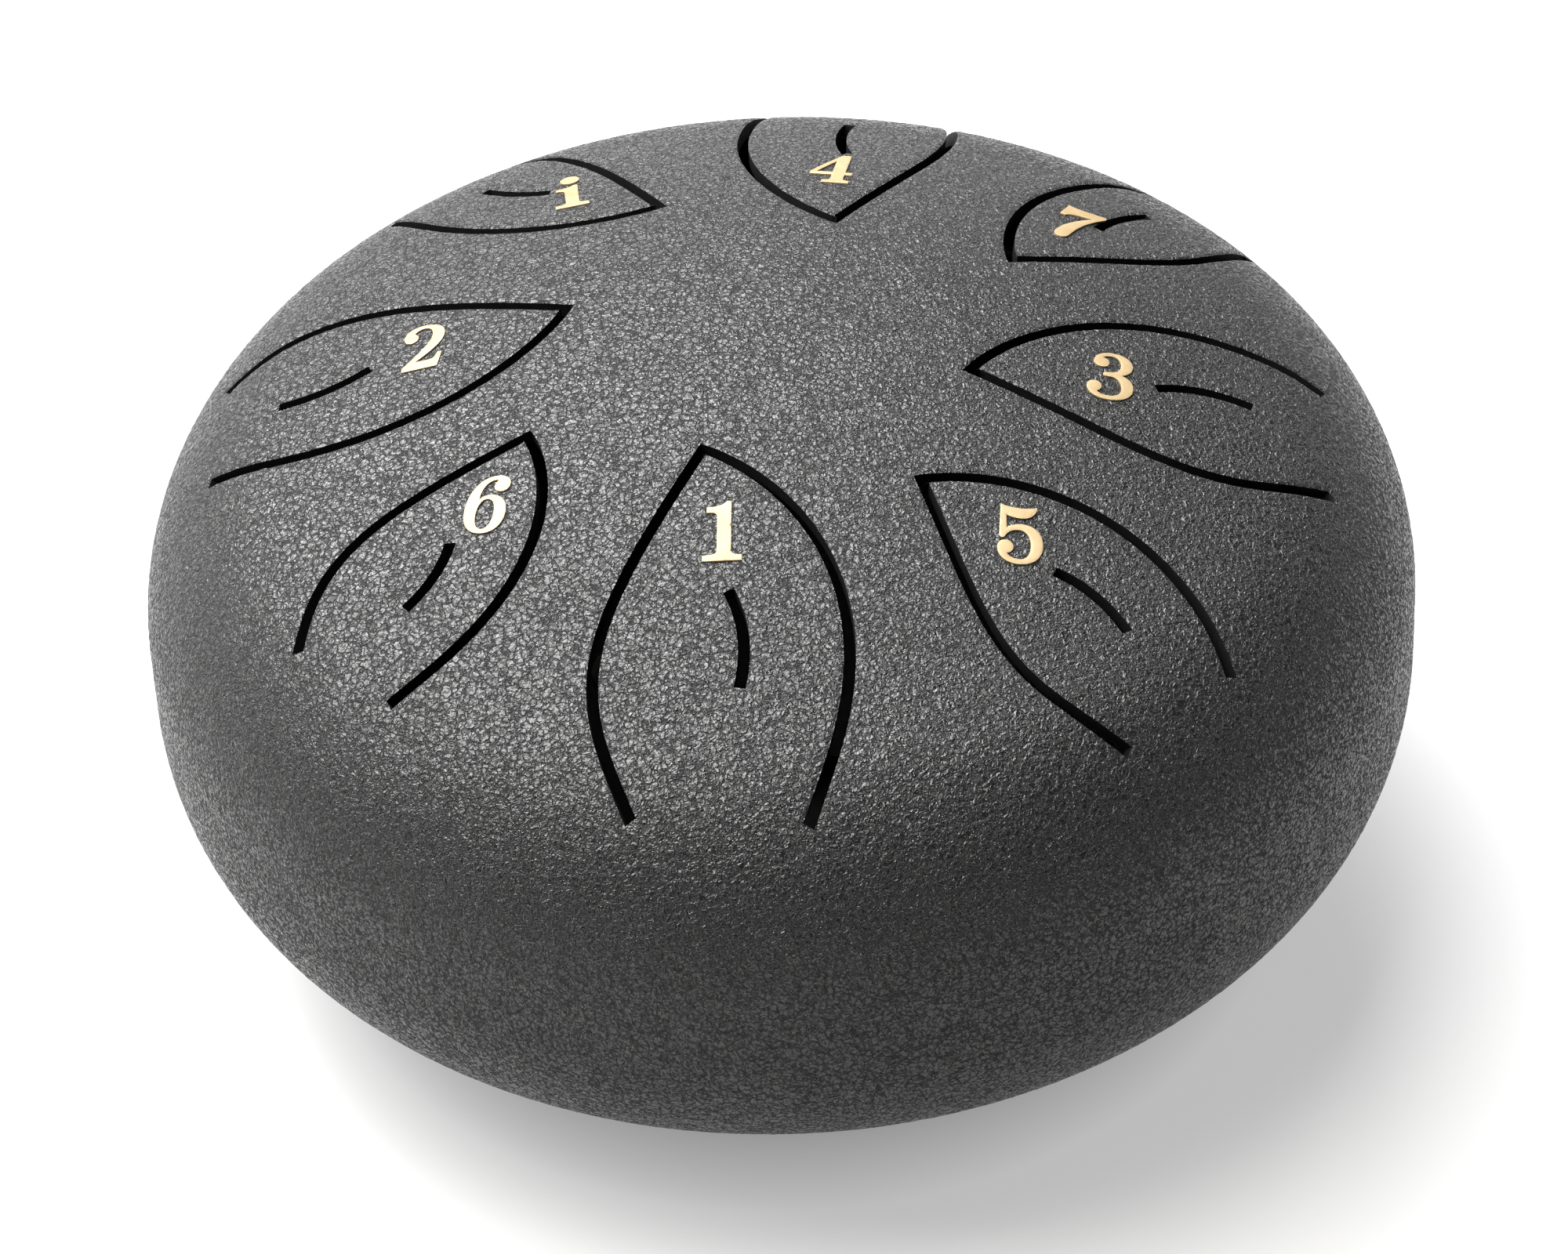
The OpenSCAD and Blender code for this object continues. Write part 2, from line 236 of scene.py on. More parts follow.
def wrinkles(points):
    """Height of the coat's wrinkles, in mm: low islands with narrow valleys between them."""
    heights = np.empty(len(points))
    for k, p in enumerate(points / WRINKLE_SIZE):
        near = noise.voronoi(Vector(p))[0]
        island = min(1.0, (near[1] - near[0]) / 0.45)
        heights[k] = island + 0.5 * noise.noise(Vector(p * 2.3))
    return WRINKLE_H * (heights - 1.0)


# ---- triangulated sheets ----

def grid_points(spacing, reach):
    """A triangular grid over a disc, each point moved a little so that no rows show."""
    rng = np.random.default_rng(7)
    n = int(reach / spacing) + 2
    rows = int(n / 0.85)
    j, i = np.meshgrid(np.arange(-rows, rows + 1), np.arange(-n, n + 1), indexing="ij")
    points = np.column_stack([((i + (j % 2) / 2) * spacing).ravel(), (j * spacing * 0.866).ravel()])
    points += rng.uniform(-0.16, 0.16, points.shape) * spacing
    return points[np.linalg.norm(points, axis=1) < reach - 0.6 * spacing]


class Outline:
    """Cut lines as points and edges, each point with a mark that says whether the coat rounds off there."""

    def __init__(self):
        self.points, self.edges, self.cut = [], [], []

    def line(self, points, closed=False, cut=True, first=None, last=None):
        """Adds a line of points; first and last are the numbers of points that are there already."""
        numbers = []
        for k, p in enumerate(points):
            known = first if k == 0 else last if k == len(points) - 1 else None
            if known is None:
                known = len(self.points)
                self.points.append(p)
                self.cut.append(cut)
            numbers.append(known)
        self.edges += list(zip(numbers, numbers[1:]))
        if closed:
            self.edges.append((numbers[-1], numbers[0]))
        return numbers


def triangulate(outline, spacing, beside_rows, keep_clear):
    """Points and triangles over the outline: its own points come first, in order."""
    edge_points = np.array(outline.points)
    loose = grid_points(spacing, SEAM_S)
    blocked = np.zeros(len(loose), bool)
    cell = {}
    for p in edge_points:
        cell.setdefault((int(p[0] // keep_clear), int(p[1] // keep_clear)), []).append(p)
    for k, p in enumerate(loose):
        cx, cy = int(p[0] // keep_clear), int(p[1] // keep_clear)
        for dx in (-1, 0, 1):
            for dy in (-1, 0, 1):
                for q in cell.get((cx + dx, cy + dy), ()):
                    if (p[0] - q[0]) ** 2 + (p[1] - q[1]) ** 2 < keep_clear ** 2:
                        blocked[k] = True
    parts = [part for part in (edge_points, beside_rows, loose[~blocked]) if len(part)]
    points = [Vector(p) for p in np.vstack(parts)]
    made, _, triangles, origin, _, _ = geometry.delaunay_2d_cdt(points, outline.edges, [], 0, 1e-7, True)
    made = np.array([(p.x, p.y) for p in made])
    number = np.full(len(made), -1)
    for k, came_from in enumerate(origin):
        if len(came_from) and came_from[0] < len(edge_points):
            number[k] = came_from[0]
    return made, np.array([t for t in triangles if len(t) == 3]), number


def vertex_normals(points, triangles):
    a, b, c = (points[triangles[:, k]] for k in range(3))
    face = np.cross(b - a, c - a)
    normals = np.zeros_like(points)
    for k in range(3):
        np.add.at(normals, triangles[:, k], face)
    return normals / np.maximum(np.linalg.norm(normals, axis=1), 1e-12)[:, None]


def border(triangles):
    """The edges that only one triangle has, in that triangle's direction."""
    edges = np.vstack([triangles[:, [0, 1]], triangles[:, [1, 2]], triangles[:, [2, 0]]])
    key = np.sort(edges, 1)
    _, where, count = np.unique(key, axis=0, return_inverse=True, return_counts=True)
    return edges[count[where.ravel()] == 1]


def add_mesh(name, points, faces, face_normals, materials, face_material, body, replaced):
    """A mesh object in metres with its own shading normals, riding on the body if one is named."""
    mesh = bpy.data.meshes.new(name)
    mesh.from_pydata((points * MM).tolist(), [], faces)
    for m in materials:
        mesh.materials.append(m)
    mesh.polygons.foreach_set("material_index", np.asarray(face_material, np.int32))
    mesh.polygons.foreach_set("use_smooth", np.ones(len(faces), bool))
    if face_normals is not None:
        mesh.normals_split_custom_set(face_normals.tolist())
    mesh.update()
    piece = bpy.data.objects.new(name, mesh)
    bpy.context.scene.collection.objects.link(piece)
    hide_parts(*replaced)
    if body:
        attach(piece, body)
    return piece


class Sheet:
    """A dish's outer skin with relief and its plainer inner skin, cut into regions by the same outline."""

    def __init__(self, outline, side, rows, spacing):
        self.outline, self.side = outline, side
        self.flat, self.tris, self.number = triangulate(outline, spacing, rows, CLEAR_OUTSIDE)
        self.in_flat, self.in_tris, self.in_number = triangulate(outline, COARSE, [], CLEAR_INSIDE)
        base, normal = raise_up(self.flat, side)
        cut = np.array(outline.cut + [False])
        drop = np.where(cut[self.number], EDGE_DROP, 0.0)
        at_rim = np.linalg.norm(self.flat, axis=1) > SEAM_S - 1e-4
        relief = np.minimum(wrinkles(base), 0) * ~at_rim
        self.points = base + normal * (relief - drop)[:, None]
        self.tris = self.facing(self.flat, self.tris)
        self.in_tris = self.facing(self.in_flat, self.in_tris)
        self.normals = vertex_normals(self.points, self.tris)
        self.normals[at_rim] = normal[at_rim]
        base, normal = raise_up(self.in_flat, side)
        self.in_points, self.in_normals = base - normal * SHEET_T, -normal
        self.in_points[:, 2] = np.where(np.linalg.norm(self.in_flat, axis=1) > SEAM_S - 1e-4,
                                        SEAM_Z, self.in_points[:, 2])

    def facing(self, flat, tris):
        """Triangles turned so that they face outwards on this side."""
        a, b, c = (flat[tris[:, k]] for k in range(3))
        turn = (b - a)[:, 0] * (c - a)[:, 1] - (b - a)[:, 1] * (c - a)[:, 0]
        tris = tris[np.abs(turn) > 1e-9]
        turn = turn[np.abs(turn) > 1e-9] * self.side
        return np.where((turn > 0)[:, None], tris, tris[:, ::-1])

    def piece(self, name, chosen, body, replaced):
        """A closed solid of the region that chosen(points) picks out: outside, inside and cut walls."""
        outer = self.tris[chosen(self.flat[self.tris].mean(1))]
        inner = self.in_tris[chosen(self.in_flat[self.in_tris].mean(1))][:, ::-1]
        used, outer_ids = np.unique(outer, return_inverse=True)
        in_used, inner_ids = np.unique(inner, return_inverse=True)
        outer_ids, inner_ids = outer_ids.reshape(-1, 3), inner_ids.reshape(-1, 3) + len(used)
        points = np.vstack([self.points[used], self.in_points[in_used]])
        below = {self.in_number[v]: k + len(used) for k, v in enumerate(in_used) if self.in_number[v] >= 0}
        numbers = self.number[used]
        walls = []
        for a, b in border(outer_ids):
            if numbers[a] in below and numbers[b] in below:
                walls.append((b, a, below[numbers[a]], below[numbers[b]]))
        faces = outer_ids.tolist() + inner_ids.tolist() + walls
        quads = points[np.array(walls)]
        wall_normal = np.cross(quads[:, 2] - quads[:, 0], quads[:, 3] - quads[:, 1])
        wall_normal /= np.linalg.norm(wall_normal, axis=1)[:, None]
        inner_normals = self.in_normals[in_used][inner_ids.ravel() - len(used)]
        corners = np.vstack([self.normals[outer.ravel()], inner_normals, np.repeat(wall_normal, 4, 0)])
        kind = [0] * len(outer) + [1] * (len(inner) + len(walls))
        return add_mesh(name, points, faces, corners, [COAT, INSIDE_PAINTED_SHADE], kind, body, replaced)


# ---- materials ----

# Islands of the coat in a metre, the width of its cracks as a share of an island, and how far, in metres,
# their outlines wander
COAT_ISLANDS = 950.0
COAT_CRACK = 0.09
COAT_SWAY = 0.0012


def new_material(name):
    material = bpy.data.materials.new(name)
    material.use_nodes = True
    tree = material.node_tree
    return material, tree, tree.nodes["Principled BSDF"]


def node(tree, kind, inputs=None, **settings):
    made = tree.nodes.new(kind)
    for key, value in settings.items():
        setattr(made, key, value)
    for key, value in (inputs or {}).items():
        if isinstance(value, bpy.types.NodeSocket):
            tree.links.new(value, made.inputs[key])
        else:
            made.inputs[key].default_value = value
    return made


def math_node(tree, operation, a, b):
    return node(tree, "ShaderNodeMath", {0: a, 1: b}, operation=operation).outputs[0]


def ramp(tree, value, low, high, to_low=0.0, to_high=1.0):
    return node(tree, "ShaderNodeMapRange", {"Value": value, "From Min": low, "From Max": high,
                                             "To Min": to_low, "To Max": to_high}).outputs[0]


def noise_at(tree, place, scale, detail):
    return node(tree, "ShaderNodeTexNoise", {"Vector": place, "Scale": scale, "Detail": detail})


def colour_between(tree, amount, low, high):
    made = node(tree, "ShaderNodeValToRGB", {"Fac": amount})
    made.color_ramp.elements[0].color = (*low, 1)
    made.color_ramp.elements[1].color = (*high, 1)
    return made.outputs["Color"]


def dress(tree, shader, colour, roughness, height, strength, distance):
    """Links a colour, a roughness and a bump, with its strength and its distance in metres, to the shader."""
    bump = node(tree, "ShaderNodeBump", {"Height": height, "Strength": strength, "Distance": distance})
    tree.links.new(colour, shader.inputs["Base Color"])
    tree.links.new(bump.outputs["Normal"], shader.inputs["Normal"])
    tree.links.new(roughness, shader.inputs["Roughness"])


def powder_coat():
    """Charcoal wrinkle coat: glossy grains on leathery islands, with dull cracks between them whose colour is
    darkened as painted shade.
    """
    material, tree, shader = new_material("powder_coat")
    place = node(tree, "ShaderNodeTexCoord").outputs["Object"]
    sway = noise_at(tree, place, 1500.0, 2.0).outputs["Color"]
    sway = node(tree, "ShaderNodeVectorMath", {0: sway, 1: (0.5, 0.5, 0.5)}, operation="SUBTRACT").outputs[0]
    sway = node(tree, "ShaderNodeVectorMath", {0: sway, "Scale": COAT_SWAY}, operation="SCALE").outputs[0]
    bent = node(tree, "ShaderNodeVectorMath", {0: place, 1: sway}, operation="ADD").outputs[0]
    islands = node(tree, "ShaderNodeTexVoronoi", {"Vector": bent, "Scale": COAT_ISLANDS},
                   feature="DISTANCE_TO_EDGE")
    crease = noise_at(tree, bent, 1500.0, 1.0).outputs["Fac"]
    grain = noise_at(tree, place, 2600.0, 1.0).outputs["Fac"]
    cloud = noise_at(tree, place, 260.0, 3.0).outputs["Fac"]
    island = ramp(tree, islands.outputs["Distance"], 0.0, COAT_CRACK)
    speck = ramp(tree, grain, 0.42, 0.58, 0.32, 1.0)
    height = math_node(tree, "ADD", math_node(tree, "MULTIPLY", island, 0.4),
                       math_node(tree, "MULTIPLY", crease, 1.1))
    # Painted shade: the base colour is darker in the cracks than on the islands. Grains and clouds vary the
    # tone at random, and the same mix sets the roughness.
    crack_shaded_tone = math_node(tree, "MULTIPLY", math_node(tree, "MULTIPLY", island, speck),
                     ramp(tree, cloud, 0.3, 0.7, 0.8, 1.1))
    colour = colour_between(tree, crack_shaded_tone, (0.001, 0.001, 0.001), (0.011, 0.0108, 0.0109))
    dress(tree, shader, colour, ramp(tree, crack_shaded_tone, 0.0, 0.85, 1.0, 0.19), height, 1.0, 0.00036)
    shader.inputs["Specular IOR Level"].default_value = 0.5
    return material


def inner_coat_painted_shade():
    """The thin, dull overspray inside the drum and on the walls of its cuts; its near-black colour is painted
    shade for the unlit inside.
    """
    material, tree, shader = new_material("inner_coat_painted_shade")
    place = node(tree, "ShaderNodeTexCoord").outputs["Object"]
    grain = noise_at(tree, place, 1400.0, 4.0).outputs["Fac"]
    cloud = noise_at(tree, place, 60.0, 3.0).outputs["Fac"]
    # Near black: painted shade inside the drum and in its cuts.
    colour = colour_between(tree, cloud, (0.002, 0.002, 0.002), (0.006, 0.006, 0.006))
    dress(tree, shader, colour, ramp(tree, grain, 0.3, 0.7, 0.6, 0.8), grain, 0.7, 0.00006)
    shader.inputs["Specular IOR Level"].default_value = 0.12
    return material


def gold_foil():
    """Pale satin foil with a faint brushed grain and slightly darker patches."""
    material, tree, shader = new_material("gold_foil")
    place = node(tree, "ShaderNodeTexCoord").outputs["Object"]
    cloud = noise_at(tree, place, 350.0, 3.0).outputs["Fac"]
    grain = noise_at(tree, place, 5200.0, 2.0).outputs["Fac"]
    colour = colour_between(tree, ramp(tree, cloud, 0.3, 0.7), (0.26, 0.185, 0.09), (0.31, 0.23, 0.125))
    dress(tree, shader, colour, ramp(tree, grain, 0.3, 0.7, 0.38, 0.5), grain, 0.35, 0.00002)
    shader.inputs["Metallic"].default_value = 0.25
    shader.inputs["Specular IOR Level"].default_value = 0.4
    return material


def rubber():
    """Moulded black rubber, slightly dusty, with a fine matte grain."""
    material, tree, shader = new_material("rubber")
    place = node(tree, "ShaderNodeTexCoord").outputs["Object"]
    grain = noise_at(tree, place, 3200.0, 3.0).outputs["Fac"]
    dust = noise_at(tree, place, 220.0, 4.0).outputs["Fac"]
    colour = colour_between(tree, ramp(tree, dust, 0.35, 0.75), (0.012, 0.012, 0.012), (0.034, 0.033, 0.032))
    dress(tree, shader, colour, ramp(tree, dust, 0.3, 0.7, 0.62, 0.82), grain, 0.5, 0.00004)
    return material


def weld_steel():
    """As-welded steel: grey with blue-brown heat tint."""
    material, tree, shader = new_material("weld_steel")
    place = node(tree, "ShaderNodeTexCoord").outputs["Object"]
    tint = noise_at(tree, place, 90.0, 3.0).outputs["Fac"]
    scale = noise_at(tree, place, 900.0, 4.0).outputs["Fac"]
    colour = colour_between(tree, tint, (0.10, 0.085, 0.07), (0.20, 0.20, 0.22))
    dress(tree, shader, colour, ramp(tree, scale, 0.3, 0.7, 0.4, 0.65), scale, 0.6, 0.0001)
    shader.inputs["Metallic"].default_value = 0.8
    return material


COAT, INSIDE_PAINTED_SHADE, FOIL, RUBBER, WELD = powder_coat(), inner_coat_painted_shade(), gold_foil(), rubber(), weld_steel()


# ---- the dishes and the tongues ----

def circle(middle, radius, spacing):
    n = max(12, int(2 * math.pi * radius / spacing))
    a = np.arange(n) * 2 * math.pi / n
    return np.asarray(middle) + radius * np.column_stack([np.cos(a), np.sin(a)])


def outside_all(polygons):
    """A test of which points lie in none of the polygons."""
    def chosen(points):
        keep = np.ones(len(points), bool)
        for polygon in polygons:
            keep &= ~inside(polygon, points)
        return keep
    return chosen


def make_top():
    """The slotted top dish and its eight tongue skins."""
    outline = Outline()
    outline.line(circle((0, 0), SEAM_S, ALONG_SEAM), closed=True, cut=False)
    leaves = {name: Leaf(row) for name, row in NOTES.items()}
    areas, veins, openings, rows = {}, {}, [], []
    for name, leaf in leaves.items():
        inner, outer = leaf.sides(SLIT_W / 2), leaf.sides(-SLIT_W / 2)
        vein = leaf.vein()
        chord = np.linspace(inner[0][-1], inner[1][-1], int(leaf.length * ROOT_WIDTH / FINE) + 2)
        flat = [unroll(line) for line in (inner[0], inner[1], outer[0], outer[1], vein, chord)]
        a = outline.line(flat[0])
        b = outline.line(flat[1], first=a[0])
        c = outline.line(flat[2])
        d = outline.line(flat[3], first=c[0])
        outline.line([flat[0][-1], flat[2][-1]], first=a[-1], last=c[-1])
        outline.line([flat[1][-1], flat[3][-1]], first=b[-1], last=d[-1])
        outline.line(flat[4], closed=True)
        outline.line(flat[5], cut=False, first=a[-1], last=b[-1])
        areas[name] = np.vstack([flat[0], flat[5][1:-1], flat[1][::-1][:-1]])
        veins[name] = flat[4]
        openings.append(np.vstack([flat[2], flat[0][-1:], flat[5][1:-1], flat[1][-1:], flat[3][::-1][:-1]]))
        for offset in (SLIT_W / 2 + EDGE_ROW, -SLIT_W / 2 - EDGE_ROW):
            for line in leaf.sides(offset):
                rows.append(unroll(line[2:-1]))
    sheet = Sheet(outline, 1, np.vstack(rows), FINE)
    sheet.piece("top_dish", outside_all(openings), "drum", ["top_shell"])
    for name, leaf in leaves.items():
        def tongue(points, area=areas[name], vein=veins[name]):
            return inside(area, points) & ~inside(vein, points)
        piece = sheet.piece(f"tongue_skin_{name}", tongue, None, [f"tongue_{name}"])
        inner = leaf.sides(SLIT_W / 2)
        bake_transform(piece)


def foot_places():
    return [polar(FOOT_RING_R, 90 * k - 45) for k in range(1, 5)]


def make_bottom():
    """The bottom dish, with the sound port and the four holes for the feet."""
    outline = Outline()
    outline.line(circle((0, 0), SEAM_S, ALONG_SEAM), closed=True, cut=False)
    holes = [circle((0, 0), PORT_R, ALONG_CUT)] + [circle(p, NECK_R, ALONG_CUT) for p in foot_places()]
    holes = [unroll(h) for h in holes]
    for h in holes:
        outline.line(h, closed=True)
    rows = [unroll(circle((0, 0), PORT_R + EDGE_ROW, ALONG_CUT))]
    sheet = Sheet(outline, -1, np.vstack(rows), FINE_BELOW)
    sheet.piece("bottom_dish", outside_all(holes), "drum", ["bottom_shell"])


def lathe(profile_points, middle, steps):
    """Points and faces of a turned piece; a profile point on the axis becomes a single point."""
    points, faces, rings = [], [], []
    for r, z in profile_points:
        if r < 1e-6:
            rings.append([len(points)] * steps)
            points.append((middle[0], middle[1], z))
        else:
            rings.append(list(range(len(points), len(points) + steps)))
            points += [(middle[0] + r * math.cos(2 * math.pi * k / steps),
                        middle[1] + r * math.sin(2 * math.pi * k / steps), z) for k in range(steps)]
    for low, high in zip(rings, rings[1:]):
        for k in range(steps):
            corners = [low[k], low[(k + 1) % steps], high[(k + 1) % steps], high[k]]
            faces.append(list(dict.fromkeys(corners)))
    return np.array(points), faces


def make_feet():
    """Push-in bumpers: a rounded pad under the drum, a neck through the dish and a soft head inside."""
    lowest = cad_low.z / MM
    outer_z = SEAM_Z - (CROWN_Z + math.sqrt(CROWN_R ** 2 - FOOT_RING_R ** 2))
    for k, place in enumerate(foot_places(), 1):
        arc = [(FOOT_PAD_R + PAD_ROUND * math.sin(a), lowest + PAD_ROUND * (1 - math.cos(a)))
               for a in np.linspace(0, 1.35, 7)]
        side = [(FOOT_R - 0.55, lowest + 2.2), (FOOT_R - 0.3, lowest + 3.1),
                (FOOT_R - 0.12, lowest + 4.0), (FOOT_R, lowest + 4.4)]
        lip = [(FOOT_R, outer_z - 1.1), (FOOT_R - 0.25, outer_z - 0.75), (NECK_R + 1.2, outer_z - 0.6)]
        head_z = outer_z + SHEET_T
        head = [(NECK_R, outer_z - 0.5), (NECK_R, head_z + 0.3), (NECK_R + 1.35, head_z + 0.7),
                (NECK_R + 1.5, head_z + 1.1), (NECK_R + 1.3, head_z + 1.8), (NECK_R + 0.4, head_z + 3.2),
                (NECK_R - 0.4, head_z + 4.0), (0, head_z + 4.2)]
        dimple = [(0, lowest + 0.5), (1.6, lowest + 0.45), (2.1, lowest + 0.05), (2.4, lowest)]
        points, faces = lathe(dimple + arc + side + lip + head, place, 48)
        add_mesh(f"foot_bumper_{k}", points, faces, None, [RUBBER], [0] * len(faces),
                 "drum", [f"foot_{k}"])


def make_weld():
    """A bead around the inside of the seam, in overlapping ripples."""
    around, across, ripples = 720, 10, 260
    rng = np.random.default_rng(3)
    wander = np.interp(np.arange(around), np.linspace(0, around, 61), np.append(rng.uniform(-1, 1, 60), 0))
    points, faces = [], []
    middle_r = RIM_R - SHEET_T
    for k in range(around):
        turn = 2 * math.pi * k / around
        swell = 0.88 + 0.1 * abs(math.sin(ripples * turn / 2)) + 0.02 * wander[k]
        for j in range(across + 1):
            a = math.pi * (0.5 + j / across)
            r = middle_r + WELD_R * swell * math.cos(a) * 0.98
            z = SEAM_Z + WELD_R * swell * math.sin(a) * 0.98
            points.append((r * math.cos(turn), r * math.sin(turn), z))
    ring = across + 1
    for k in range(around):
        here, there = k * ring, (k + 1) % around * ring
        for j in range(ring):
            nxt = (j + 1) % ring
            faces.append([here + j, there + j, there + nxt, here + nxt])
    add_mesh("weld_bead", np.array(points), faces, None, [WELD], [0] * len(faces),
             "drum", ["seam_weld"])


# ---- numbers ----

# Outlines on a square 100 high. Every third point is on the outline, the two after it are curve handles.
GLYPHS = {
    "1": [[
        (0, 0), (0, 0), (51, 0), (51, 0), (51, 0), (51, 9), (51, 9), (44, 9.5), (37, 10),
        (37, 16), (37, 16), (37, 100), (37, 100), (37, 100), (31, 100), (31, 100), (26, 92), (17, 90),
        (5, 90), (5, 90), (5, 81), (5, 81), (14, 81), (18.5, 81), (18.5, 73), (18.5, 73), (18.5, 16),
        (18.5, 16), (18.5, 10), (8, 9.5), (0, 9), (0, 9), (0, 0)]],
    "2": [[
        (0, 0), (0, 0), (50, 0), (50, 0), (50, 0), (55, 31), (55, 31), (55, 31), (49, 31),
        (49, 31), (46, 20), (43, 17), (37, 17), (37, 17), (18, 17), (18, 17), (38, 35), (56, 52),
        (56, 74), (56, 91), (43, 100), (26, 100), (10, 100), (-1, 91), (-1, 76), (-1, 69), (3, 63),
        (9, 63), (15, 63), (19, 68), (19, 73), (19, 78), (16, 81), (13, 84), (16, 89), (20, 93),
        (26, 93), (35, 93), (39, 86), (39, 75), (39, 55), (22, 36), (0, 8), (0, 8), (0, 0)]],
    "3": [[
        (6, 78), (6, 91), (18, 100), (32, 100), (48, 100), (59, 91), (59, 77), (59, 65), (52, 58),
        (43, 54), (53, 50), (59, 42), (58, 28), (57, 11), (42, 0), (24, 0), (7, 0), (-5, 10),
        (-5, 23), (-5, 31), (0, 36), (6, 36), (12, 36), (15, 31), (15, 26), (15, 21), (12, 17),
        (8, 15), (11, 10), (17, 8), (24, 8), (35, 8), (42, 16), (42, 28), (42, 41), (37, 49),
        (28, 49), (24, 49), (18, 48), (18, 53), (18, 58), (24, 57), (29, 58), (38, 59), (43, 67),
        (43, 77), (43, 87), (39, 93), (31, 93), (25, 93), (21, 91), (19, 88), (24, 87), (27, 83),
        (27, 78), (27, 72), (23, 68), (17, 68), (11, 68), (6, 72)]],
    "4": [[
        (36, 100), (36, 100), (49, 100), (49, 100), (49, 100), (49, 37), (49, 37), (49, 37), (59, 37),
        (59, 37), (59, 37), (59, 28), (59, 28), (59, 28), (49, 28), (49, 28), (49, 28), (49, 14),
        (49, 14), (49, 10), (51, 9), (58, 8), (58, 8), (58, 0), (58, 0), (58, 0), (20, 0),
        (20, 0), (20, 0), (20, 8), (20, 8), (28, 9), (31, 10), (31, 14), (31, 14), (31, 28),
        (31, 28), (31, 28), (0, 28), (0, 28), (0, 28), (0, 36), (0, 36), (0, 36), (36, 100)],
        [(9, 37), (9, 37), (31, 37), (31, 37), (31, 37), (31, 78), (31, 78), (31, 78), (9, 37)]],
    "5": [[
        (6, 100), (21, 93), (38, 93), (54, 97), (52, 84), (44, 77), (33, 77), (25, 77), (18, 79),
        (13, 82), (13, 82), (13, 60), (13, 60), (18, 65), (26, 67), (33, 67), (50, 67), (60, 53),
        (60, 34), (60, 13), (46, 0), (28, 0), (12, 0), (0, 11), (0, 26), (0, 34), (5, 39),
        (11, 39), (17, 39), (21, 34), (21, 28), (21, 22), (17, 18), (12, 17), (16, 11), (22, 8),
        (28, 8), (39, 8), (44, 19), (44, 34), (44, 48), (38, 57), (29, 57), (20, 57), (13, 52),
        (10.5, 45), (9, 42), (4.5, 42), (3, 46), (3, 46), (6, 100)]],
    "6": [[
        (38, 100), (48, 100), (55, 93), (55, 85), (55, 77), (50, 72), (44, 72), (38, 72), (34, 76),
        (34, 81), (34, 86), (36, 89), (38, 92), (33, 94), (17, 90), (17, 58), (20, 63), (26, 66),
        (33, 66), (47, 66), (57, 53), (57, 34), (57, 14), (46, 0), (29, 0), (10, 0), (0, 16),
        (0, 42), (0, 75), (15, 100)], [
        (28.5, 59), (36.5, 59), (41, 48), (41, 33), (41, 18), (36.5, 7), (28.5, 7), (21, 7),
        (16.5, 18), (16.5, 33), (16.5, 48), (21, 59)]],
    "7": [[
        (2, 100), (14, 94), (40, 98), (58, 99), (60, 97), (60, 94), (59, 91), (46, 68), (38, 46),
        (37, 10), (36, 1), (31, -2), (26, -2), (20, -2), (16, 3), (16, 11), (16, 36), (30, 62),
        (45, 80), (32, 76), (16, 78), (9, 66), (9, 66), (1, 66), (1, 66), (1, 66), (2, 100)]],
    "high_1": [[
        (0, 0), (0, 0), (47, 0), (47, 0), (47, 0), (47, 9), (47, 9), (40, 9.5), (34, 10),
        (34, 16), (34, 16), (34, 76), (34, 76), (34, 76), (28, 76), (28, 76), (22, 70), (14, 69),
        (3, 68), (3, 68), (3, 60), (3, 60), (11, 60), (15, 59), (15, 52), (15, 52), (15, 16),
        (15, 16), (15, 10), (8, 9.5), (0, 9), (0, 9), (0, 0)]],
}
DOT_MIDDLE, DOT_R = (24, 97), 13.5
GLYPH_MIDDLE = (28, 50)
# Radius and bearing of the middle of each number, and the bearing that its top points to
NUMBER_PLACES = {
    "1": (31, -95, 94),
    "5": (41.5, -41.5, 95),
    "3": (40.5, 3, 94),
    "7": (49.5, 46, 70),
    "4": (44, 85, 86),
    "high_1": (48.5, 125.5, 101),
    "2": (43, 172.5, 93.5),
    "6": (40, 218.5, 85),
}


def glyph_outline(points):
    """The outline's points in mm about the glyph's middle, close enough together to look round."""
    made = []
    count = len(points) // 3
    for k in range(count):
        a, b, c, d = (np.array(points[(3 * k + j) % (3 * count)], float) for j in range(4))
        straight = (a == b).all() and (c == d).all()
        line = curve((a, b, c, d), 10)[0] if not straight else np.linspace(a, d, 2)
        made.append(line[:-1])
    made = np.vstack(made)
    keep = np.linalg.norm(made - np.roll(made, 1, 0), axis=1) > 1e-6
    return (made[keep] - GLYPH_MIDDLE) * NUMBER_H / 100


def turn_z(degrees):
    c, s = math.cos(math.radians(degrees)), math.sin(math.radians(degrees))
    return np.array([[c, -s, 0], [s, c, 0], [0, 0, 1]])


